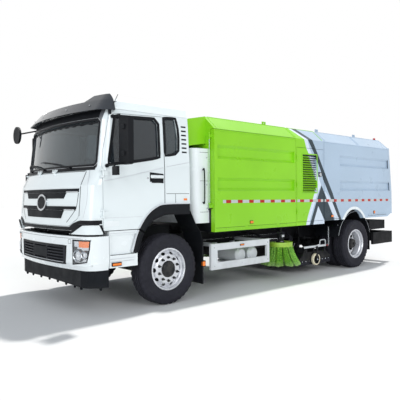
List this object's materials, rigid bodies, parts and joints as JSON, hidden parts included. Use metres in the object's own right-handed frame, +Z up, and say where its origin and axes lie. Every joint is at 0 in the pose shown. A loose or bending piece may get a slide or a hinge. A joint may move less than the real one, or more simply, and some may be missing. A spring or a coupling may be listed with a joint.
{
  "type": "street sweeper truck",
  "caption": "Two-axle washing and sweeping truck: tilting cab, equipment body with side doors, tipping hopper with tailgate, side brushes and suction nozzle under the middle",
  "frame": {"origin": "on the ground, midway along the vehicle's length and width", "axes": "+X forward, +Y left, +Z up"},
  "size_m": [7.95, 3.04, 2.92],
  "materials": {
    "cab_white": "gloss paint",
    "body_green": "gloss paint",
    "body_silver": "satin metallic paint",
    "visor_dark": "smoked gloss",
    "trim_black": "satin black",
    "chassis_black": "satin black paint",
    "axle_iron": "painted casting",
    "tyre_rubber": "matt rubber",
    "rim_paint": "satin silver paint",
    "window_glass": "tinted",
    "lamp_lens": "clear lens",
    "interior_grey": "woven and moulded",
    "guard_grey": "pale grey paint",
    "tank_white": "white paint",
    "gear_black": "black paint",
    "bristle": "fibre",
    "nozzle_black": "black paint",
    "caster_cream": "moulded",
    "rod_steel": "polished rod"
  },
  "bodies": {
    "root": {"frame_rails": "chassis_black", "cross_members": "chassis_black", "front_axle": "axle_iron", "rear_axle": "axle_iron", "drive_units": "chassis_black", "air_tanks": "tank_white", "side_guards": "guard_grey", "front_bumper": "cab_white", "bumper_grille": "trim_black", "lamps": "lamp_lens", "spray_bar": "gear_black", "cab_steps": "cab_white", "mudguards": "trim_black", "fairing": "cab_white", "equipment_body": "body_green", "underframe": "gear_black"},
    "cab": {"cab_shell": "cab_white", "cab_glass": "window_glass", "cab_interior": "interior_grey", "sun_visor": "visor_dark", "front_mirror": "trim_black"},
    "front_hatch": {"front_hatch": "cab_white", "hatch_grilles": "trim_black"},
    "hopper": {"hopper": "body_silver"},
    "tailgate": {"tailgate": "body_silver"},
    "lift_barrel": {"lift_barrel": "gear_black"},
    "lift_rod": {"lift_rod": "rod_steel"},
    "suction_nozzle": {"suction_nozzle": "nozzle_black"},
    "cab_door_left": {"cab_door_left": "cab_white", "door_glass_left": "window_glass", "door_mirror_left": "trim_black"},
    "steering_left": {"knuckle_left": "axle_iron"},
    "front_wheel_left": {"front_tyre_left": "tyre_rubber", "front_rim_left": "rim_paint"},
    "rear_wheels_left": {"rear_tyres_left": "tyre_rubber", "rear_rims_left": "rim_paint"},
    "side_door_left": {"side_door_left": "body_green"},
    "louvre_door_left": {"louvre_door_left": "body_silver"},
    "cab_door_right": {"cab_door_right": "cab_white", "door_glass_right": "window_glass", "door_mirror_right": "trim_black"},
    "steering_right": {"knuckle_right": "axle_iron"},
    "front_wheel_right": {"front_tyre_right": "tyre_rubber", "front_rim_right": "rim_paint"},
    "rear_wheels_right": {"rear_tyres_right": "tyre_rubber", "rear_rims_right": "rim_paint"},
    "side_door_right": {"side_door_right": "body_green"},
    "louvre_door_right": {"louvre_door_right": "body_silver"},
    "brush_arm_left": {"brush_arm_left": "gear_black"},
    "brush_head_left": {"brush_head_left": "gear_black"},
    "brush_disc_left": {"brush_disc_left": "bristle"},
    "brush_arm_right": {"brush_arm_right": "gear_black"},
    "brush_head_right": {"brush_head_right": "gear_black"},
    "brush_disc_right": {"brush_disc_right": "bristle"},
    "caster_left": {"caster_left": "caster_cream"},
    "caster_right": {"caster_right": "caster_cream"}
  },
  "joints": [
    {"name": "cab_tilt", "type": "hinge", "parent": "root", "child": "cab", "pos_m": [3.775, 0, 0.7], "axis": [0, 1, 0], "range_deg": [0, 45]},
    {"name": "hatch_lift", "type": "hinge", "parent": "cab", "child": "front_hatch", "pos_m": [3.861, 0, 1.896], "axis": [0, -1, 0], "range_deg": [0, 75]},
    {"name": "cab_door_left_swing", "type": "hinge", "parent": "cab", "child": "cab_door_left", "pos_m": [3.639, 1.215, 1.59], "axis": [0, 0, -1], "range_deg": [0, 60]},
    {"name": "steer_left", "type": "hinge", "parent": "root", "child": "steering_left", "pos_m": [2.575, 0.9, 0.506], "axis": [0, 0, 1], "range_deg": [-35, 35]},
    {"name": "front_wheel_left_roll", "type": "hinge", "parent": "steering_left", "child": "front_wheel_left", "pos_m": [2.575, 1.07, 0.506], "axis": [0, 1, 0], "continuous": true},
    {"name": "rear_wheels_left_roll", "type": "hinge", "parent": "root", "child": "rear_wheels_left", "pos_m": [-2.425, 0.9, 0.506], "axis": [0, 1, 0], "continuous": true},
    {"name": "side_door_left_swing", "type": "hinge", "parent": "root", "child": "side_door_left", "pos_m": [1.747, 1.16, 1.8], "axis": [0, 0, -1], "range_deg": [0, 90]},
    {"name": "louvre_door_left_swing", "type": "hinge", "parent": "root", "child": "louvre_door_left", "pos_m": [-0.322, 1.261, 1.74], "axis": [0, 0, -1], "range_deg": [0, 90]},
    {"name": "cab_door_right_swing", "type": "hinge", "parent": "cab", "child": "cab_door_right", "pos_m": [3.639, -1.215, 1.59], "axis": [0, 0, 1], "range_deg": [0, 60]},
    {"name": "steer_right", "type": "hinge", "parent": "root", "child": "steering_right", "pos_m": [2.575, -0.9, 0.506], "axis": [0, 0, 1], "range_deg": [-35, 35]},
    {"name": "front_wheel_right_roll", "type": "hinge", "parent": "steering_right", "child": "front_wheel_right", "pos_m": [2.575, -1.07, 0.506], "axis": [0, 1, 0], "continuous": true},
    {"name": "rear_wheels_right_roll", "type": "hinge", "parent": "root", "child": "rear_wheels_right", "pos_m": [-2.425, -0.9, 0.506], "axis": [0, 1, 0], "continuous": true},
    {"name": "side_door_right_swing", "type": "hinge", "parent": "root", "child": "side_door_right", "pos_m": [1.747, -1.16, 1.8], "axis": [0, 0, 1], "range_deg": [0, 90]},
    {"name": "louvre_door_right_swing", "type": "hinge", "parent": "root", "child": "louvre_door_right", "pos_m": [-0.322, -1.261, 1.74], "axis": [0, 0, 1], "range_deg": [0, 90]},
    {"name": "hopper_tip", "type": "hinge", "parent": "root", "child": "hopper", "pos_m": [-3.645, 0, 0.95], "axis": [0, -1, 0], "range_deg": [0, 45]},
    {"name": "tailgate_lift", "type": "hinge", "parent": "hopper", "child": "tailgate", "pos_m": [-3.825, 0, 2.64], "axis": [0, 1, 0], "range_deg": [0, 80]},
    {"name": "lift_barrel_turn", "type": "hinge", "parent": "root", "child": "lift_barrel", "pos_m": [-1.125, 0, 0.72], "axis": [0, 1, 0], "range_deg": [0, 17.6]},
    {"name": "lift_rod_slide", "type": "slide", "parent": "lift_barrel", "child": "lift_rod", "axis": [-0.9545, 0, 0.2983], "range_m": [0, 0.81]},
    {"name": "brush_left_swing", "type": "hinge", "parent": "root", "child": "brush_arm_left", "pos_m": [0.335, 0.7, 0.72], "axis": [0, 0, -1], "range_deg": [0, 25]},
    {"name": "brush_left_lower", "type": "slide", "parent": "brush_arm_left", "child": "brush_head_left", "axis": [0, 0, 1], "range_m": [-0.24, 0]},
    {"name": "brush_left_spin", "type": "hinge", "parent": "brush_head_left", "child": "brush_disc_left", "pos_m": [-0.205, 0.95, 0.63], "axis": [0, 0, 1], "continuous": true},
    {"name": "brush_right_swing", "type": "hinge", "parent": "root", "child": "brush_arm_right", "pos_m": [0.335, -0.7, 0.72], "axis": [0, 0, 1], "range_deg": [0, 25]},
    {"name": "brush_right_lower", "type": "slide", "parent": "brush_arm_right", "child": "brush_head_right", "axis": [0, 0, 1], "range_m": [-0.24, 0]},
    {"name": "brush_right_spin", "type": "hinge", "parent": "brush_head_right", "child": "brush_disc_right", "pos_m": [-0.205, -0.95, 0.63], "axis": [0, 0, 1], "continuous": true},
    {"name": "nozzle_lower", "type": "slide", "parent": "root", "child": "suction_nozzle", "axis": [0, 0, 1], "range_m": [-0.14, 0]},
    {"name": "caster_left_roll", "type": "hinge", "parent": "suction_nozzle", "child": "caster_left", "pos_m": [-1.235, 1.005, 0.272], "axis": [0, 1, 0], "continuous": true},
    {"name": "caster_right_roll", "type": "hinge", "parent": "suction_nozzle", "child": "caster_right", "pos_m": [-1.235, -1.005, 0.272], "axis": [0, 1, 0], "continuous": true}
  ],
  "couplings": [
    {"joint": "steer_right", "follows": "steer_left", "ratio": 1},
    {"joint": "lift_barrel_turn", "follows": "hopper_tip", "ratio": 0.3884},
    {"joint": "lift_rod_slide", "follows": "hopper_tip", "m_per_rad": 1.0279}
  ]
}
